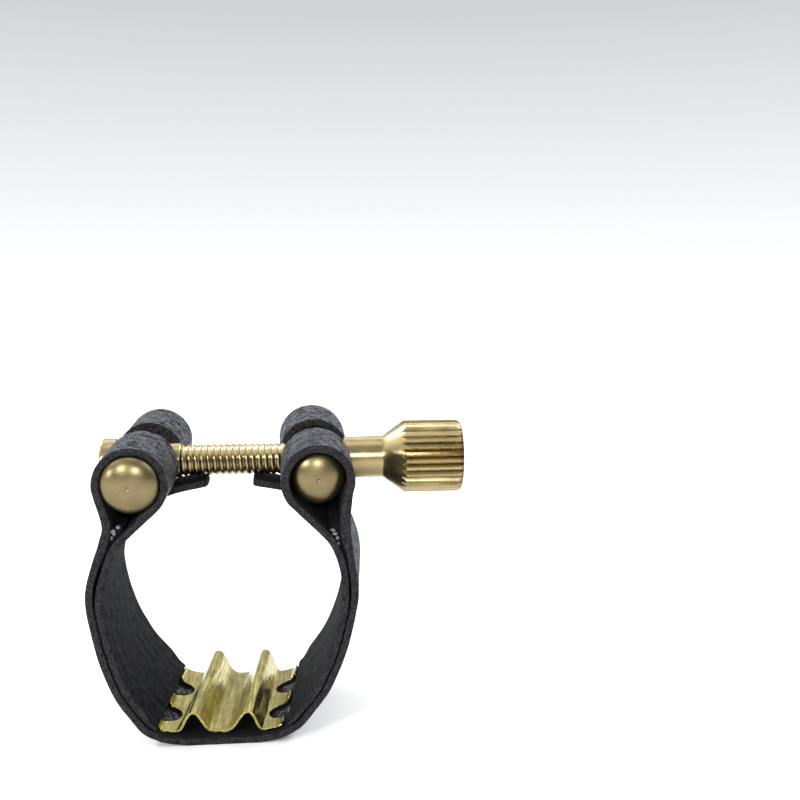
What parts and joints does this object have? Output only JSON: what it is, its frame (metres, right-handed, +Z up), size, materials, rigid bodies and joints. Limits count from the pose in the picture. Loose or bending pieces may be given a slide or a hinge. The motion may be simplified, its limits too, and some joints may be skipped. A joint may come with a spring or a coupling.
{
  "type": "saxophone ligature",
  "caption": "Black strap ligature with a corrugated brass reed plate, closed by a brass thumbscrew through a barrel in each top corner.",
  "frame": {"origin": "centre of the strap's flat underside, which is also what the ligature stands on", "axes": "+X along the thumbscrew towards its knob, +Y along the mouthpiece, from the small end of the band to the large end, +Z up from the reed plate to the screw"},
  "size_m": [0.0479, 0.0225, 0.0391],
  "materials": {
    "leather": "black synthetic leather, fine grain, semi-gloss",
    "brass": "satin turned brass",
    "plate": "bright gold-coloured pressed sheet"
  },
  "bodies": {
    "base": {"strap_base": "leather", "pressure_plate": "plate"},
    "left_arm": {"strap_left_outer": "leather", "strap_left_inner": "leather", "tongue_left": "leather"},
    "right_arm": {"strap_right_outer": "leather", "strap_right_inner": "leather", "tongue_right": "leather"},
    "threaded_barrel": {"threaded_barrel": "brass"},
    "plain_barrel": {"plain_barrel": "brass"},
    "screw": {"thumbscrew": "brass", "screw_end_stop": "brass"}
  },
  "joints": [
    {"name": "left_arm_flex", "type": "hinge", "parent": "base", "child": "left_arm", "pos_m": [-0.0087, 0, 0.00175], "axis": [0.0337, 0.9917, 0.124], "range_deg": [0, 4.4]},
    {"name": "right_arm_flex", "type": "hinge", "parent": "base", "child": "right_arm", "pos_m": [0.0087, 0, 0.00175], "axis": [0.0337, -0.9917, -0.124], "range_deg": [0, 4.4]},
    {"name": "threaded_barrel_swivel", "type": "hinge", "parent": "left_arm", "child": "threaded_barrel", "pos_m": [-0.0104, 0, 0.03335], "axis": [0.0337, 0.9917, 0.124], "range_deg": [-4.4, 0]},
    {"name": "plain_barrel_swivel", "type": "hinge", "parent": "right_arm", "child": "plain_barrel", "pos_m": [0.0111, 0, 0.03335], "axis": [0.0337, -0.9917, -0.124], "range_deg": [-4.4, 0]},
    {"name": "thumbscrew_turn", "type": "hinge", "parent": "plain_barrel", "child": "screw", "pos_m": [0.0111, 0, 0.03335], "axis": [-1, 0, 0], "range_deg": [0, 2160]}
  ],
  "couplings": [
    {"joint": "left_arm_flex", "follows": "thumbscrew_turn", "ratio": 0.0020314},
    {"joint": "right_arm_flex", "follows": "thumbscrew_turn", "ratio": 0.0020314},
    {"joint": "threaded_barrel_swivel", "follows": "thumbscrew_turn", "ratio": -0.0020314},
    {"joint": "plain_barrel_swivel", "follows": "thumbscrew_turn", "ratio": -0.0020314}
  ]
}
